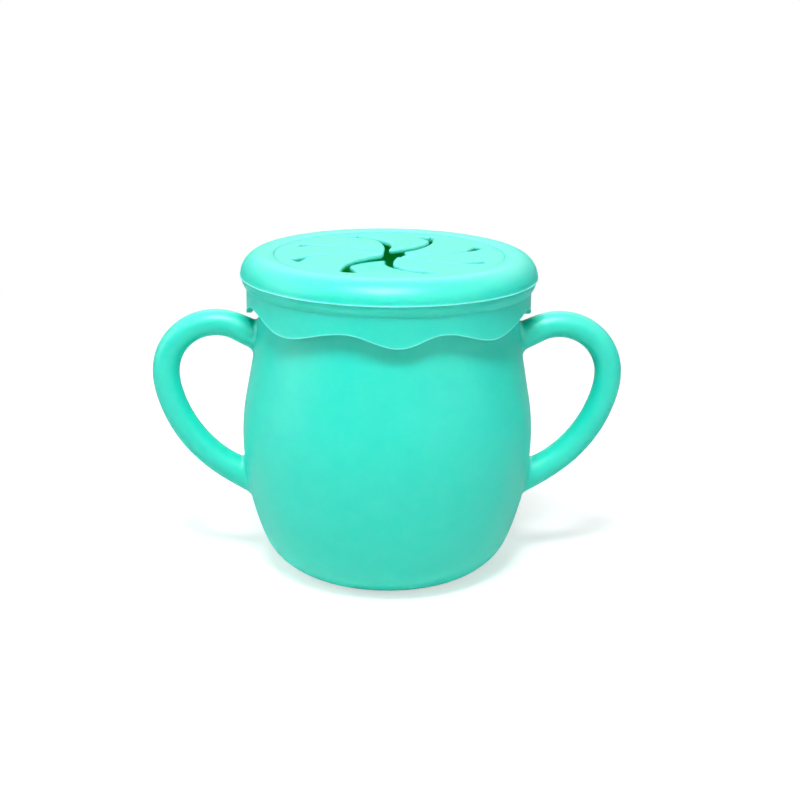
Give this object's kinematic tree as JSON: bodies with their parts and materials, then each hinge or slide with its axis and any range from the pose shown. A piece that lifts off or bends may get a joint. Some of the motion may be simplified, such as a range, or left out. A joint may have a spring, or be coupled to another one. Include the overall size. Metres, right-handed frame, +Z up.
{
  "type": "toddler training cup",
  "caption": "Small two-handled silicone cup with a round belly, and a push-on lid with a wavy skirt and a disc slit into curved petals that bend for a hand or a spoon.",
  "frame": {"origin": "centre of the cup's base, on the surface that it stands on", "axes": "+Z up along the cup's axis, +X towards the right handle, -Y towards the front"},
  "size_m": [0.1402, 0.087, 0.097],
  "materials": {
    "cup": "matte turquoise silicone",
    "lid": "matte turquoise silicone"
  },
  "bodies": {
    "cup": {"cup_body": "cup", "left_handle": "cup", "right_handle": "cup"},
    "lid": {"lid_dome": "lid", "lid_skirt": "lid", "lid_seal_lip": "lid", "lid_membrane": "lid"},
    "petal_1": {"petal_1": "lid"},
    "petal_2": {"petal_2": "lid"},
    "petal_3": {"petal_3": "lid"},
    "petal_4": {"petal_4": "lid"},
    "petal_5": {"petal_5": "lid"},
    "petal_6": {"petal_6": "lid"},
    "petal_7": {"petal_7": "lid"},
    "petal_8": {"petal_8": "lid"}
  },
  "joints": [
    {"name": "lid_lift", "type": "slide", "parent": "cup", "child": "lid", "axis": [0, 0, 1], "range_m": [0, 0.06]},
    {"name": "petal_1_bend", "type": "hinge", "parent": "lid", "child": "petal_1", "pos_m": [-0.00037, -0.02754, 0.09515], "axis": [-0.9999, 0.0134, 0], "range_deg": [-60, 70], "stiffness_Nm_per_rad": 0.01},
    {"name": "petal_2_bend", "type": "hinge", "parent": "lid", "child": "petal_2", "pos_m": [0.01921, -0.01973, 0.09515], "axis": [-0.7165, -0.6976, 0], "range_deg": [-60, 70], "stiffness_Nm_per_rad": 0.01},
    {"name": "petal_3_bend", "type": "hinge", "parent": "lid", "child": "petal_3", "pos_m": [0.02754, -0.00037, 0.09515], "axis": [-0.0134, -0.9999, 0], "range_deg": [-60, 70], "stiffness_Nm_per_rad": 0.01},
    {"name": "petal_4_bend", "type": "hinge", "parent": "lid", "child": "petal_4", "pos_m": [0.01973, 0.01921, 0.09515], "axis": [0.6976, -0.7165, 0], "range_deg": [-60, 70], "stiffness_Nm_per_rad": 0.01},
    {"name": "petal_5_bend", "type": "hinge", "parent": "lid", "child": "petal_5", "pos_m": [0.00037, 0.02754, 0.09515], "axis": [0.9999, -0.0134, 0], "range_deg": [-60, 70], "stiffness_Nm_per_rad": 0.01},
    {"name": "petal_6_bend", "type": "hinge", "parent": "lid", "child": "petal_6", "pos_m": [-0.01921, 0.01973, 0.09515], "axis": [0.7165, 0.6976, 0], "range_deg": [-60, 70], "stiffness_Nm_per_rad": 0.01},
    {"name": "petal_7_bend", "type": "hinge", "parent": "lid", "child": "petal_7", "pos_m": [-0.02754, 0.00037, 0.09515], "axis": [0.0134, 0.9999, 0], "range_deg": [-60, 70], "stiffness_Nm_per_rad": 0.01},
    {"name": "petal_8_bend", "type": "hinge", "parent": "lid", "child": "petal_8", "pos_m": [-0.01973, -0.01921, 0.09515], "axis": [-0.6976, 0.7165, 0], "range_deg": [-60, 70], "stiffness_Nm_per_rad": 0.01}
  ]
}
